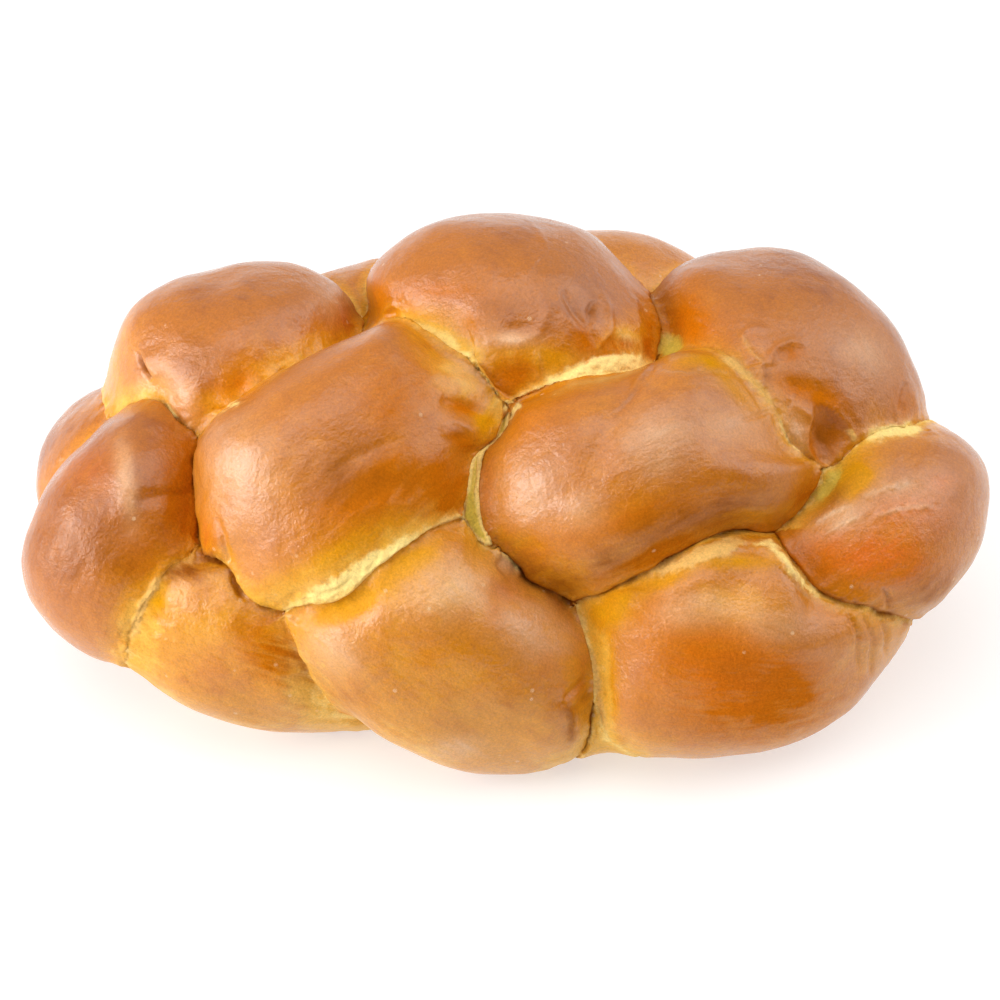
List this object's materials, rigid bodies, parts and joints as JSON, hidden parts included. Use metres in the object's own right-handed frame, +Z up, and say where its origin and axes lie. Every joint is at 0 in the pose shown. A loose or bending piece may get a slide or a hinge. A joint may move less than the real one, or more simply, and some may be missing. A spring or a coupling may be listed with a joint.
{
  "type": "braided challah loaf",
  "caption": "Oval braided sweet loaf with plump overlapping strand lobes, a shiny golden-brown crust and a flat underside.",
  "frame": {"origin": "under the middle of the loaf, on the surface that it rests on", "axes": "+X along the loaf, +Z up, and the side that the picture shows faces -Y"},
  "size_m": [0.277, 0.178, 0.115],
  "materials": {
    "crust": "egg-washed bread crust, satin to glossy on the crowns"
  },
  "bodies": {
    "root": {"loaf": "crust"}
  },
  "joints": []
}
